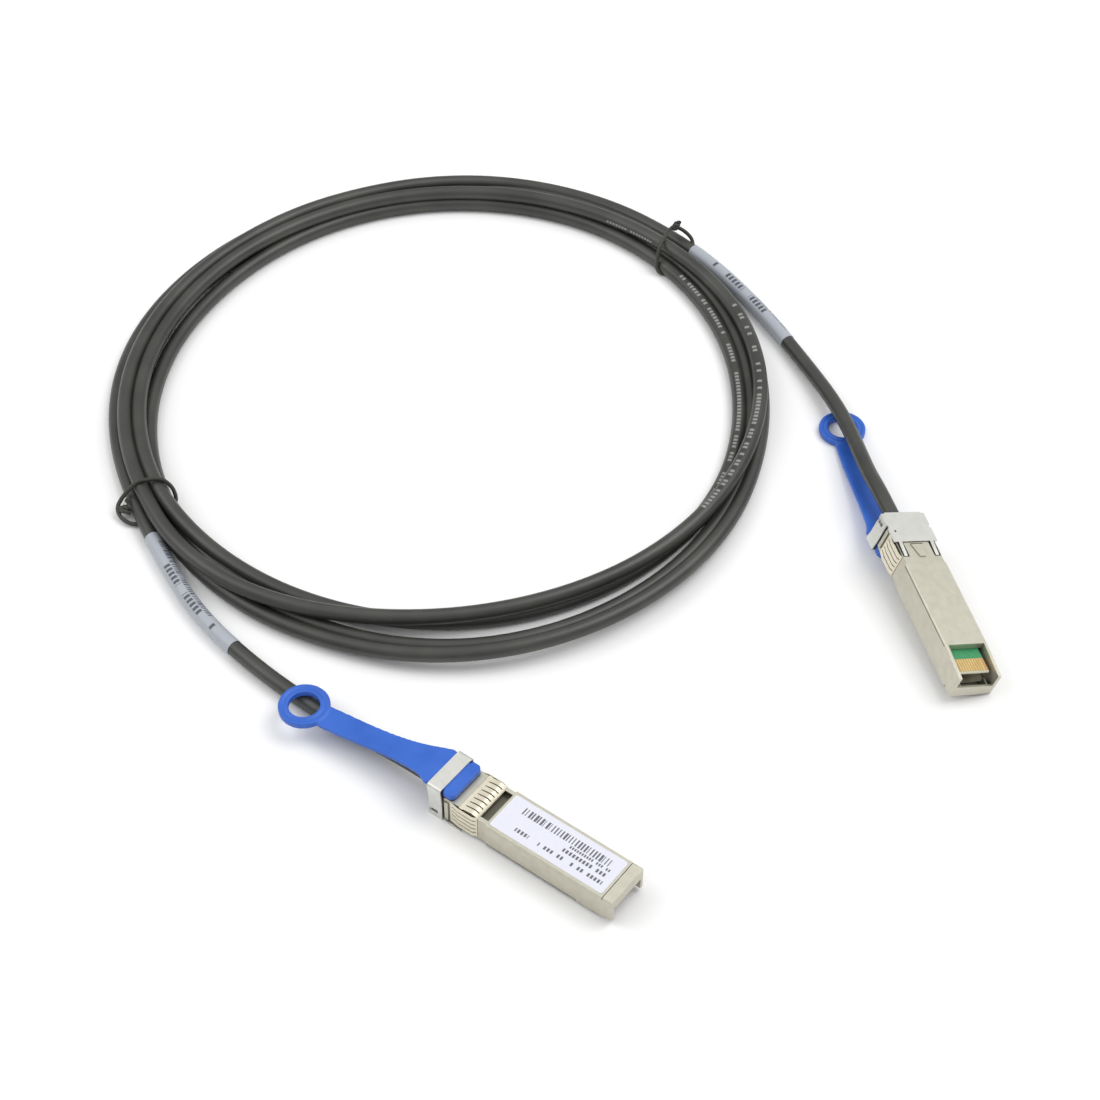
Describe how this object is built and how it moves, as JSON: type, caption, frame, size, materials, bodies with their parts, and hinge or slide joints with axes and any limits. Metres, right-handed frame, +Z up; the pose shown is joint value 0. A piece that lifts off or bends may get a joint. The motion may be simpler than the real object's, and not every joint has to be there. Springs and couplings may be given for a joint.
{
  "type": "direct attach copper cable",
  "caption": "Copper network cable lying in a tied coil, with a metal plug-in module and a blue finger-loop pull tab at each end.",
  "frame": {"origin": "middle of plug A's latch boss face, on the surface that the cable lies on", "axes": "+X is plug A's insertion direction, +Z is up, and +Y points from plug A to the side where the coil and plug B lie"},
  "size_m": [0.2999, 0.2475, 0.0173],
  "materials": {
    "nickel_casting": "satin nickel plating on a die casting",
    "spring_sheet": "bright plated spring sheet",
    "latch_steel": "satin stamped steel",
    "card_green": "green solder mask",
    "gold_plate": "gold plated contact pads",
    "chip_black": "moulded package",
    "core_jacket": "core insulation",
    "ferrule_metal": "crimped sleeve",
    "tab_blue": "moulded satin plastic",
    "label_paper": "printed film label",
    "wrap_paper": "printed film wrapped round the cable",
    "cable_jacket": "satin extruded jacket",
    "tie_black": "plastic coated tie wire"
  },
  "bodies": {
    "cable": {"base_shell_a": "nickel_casting", "cover_shell_a": "nickel_casting", "emi_collar_a": "spring_sheet", "paddle_card_a": "card_green", "gold_contacts_a": "gold_plate", "memory_chip_a": "chip_black", "twinax_cores_a": "core_jacket", "crimp_ferrule_a": "ferrule_metal", "base_shell_b": "nickel_casting", "cover_shell_b": "nickel_casting", "emi_collar_b": "spring_sheet", "paddle_card_b": "card_green", "gold_contacts_b": "gold_plate", "memory_chip_b": "chip_black", "twinax_cores_b": "core_jacket", "crimp_ferrule_b": "ferrule_metal", "plug_label_a": "label_paper", "lead_a": "cable_jacket", "lead_b": "cable_jacket", "wrap_label_a": "wrap_paper", "wrap_label_b": "wrap_paper", "coil": "cable_jacket", "tie_left": "tie_black", "tie_right": "tie_black"},
    "latch_a": {"latch_bracket_a": "latch_steel", "pull_tab_a": "tab_blue"},
    "latch_b": {"latch_bracket_b": "latch_steel", "pull_tab_b": "tab_blue"}
  },
  "joints": [
    {"name": "latch_a_slide", "type": "slide", "parent": "cable", "child": "latch_a", "axis": [-1, 0, 0], "range_m": [0, 0.002]},
    {"name": "latch_b_slide", "type": "slide", "parent": "cable", "child": "latch_b", "axis": [-0.7972, 0.5975, 0.0863], "range_m": [0, 0.002]}
  ]
}
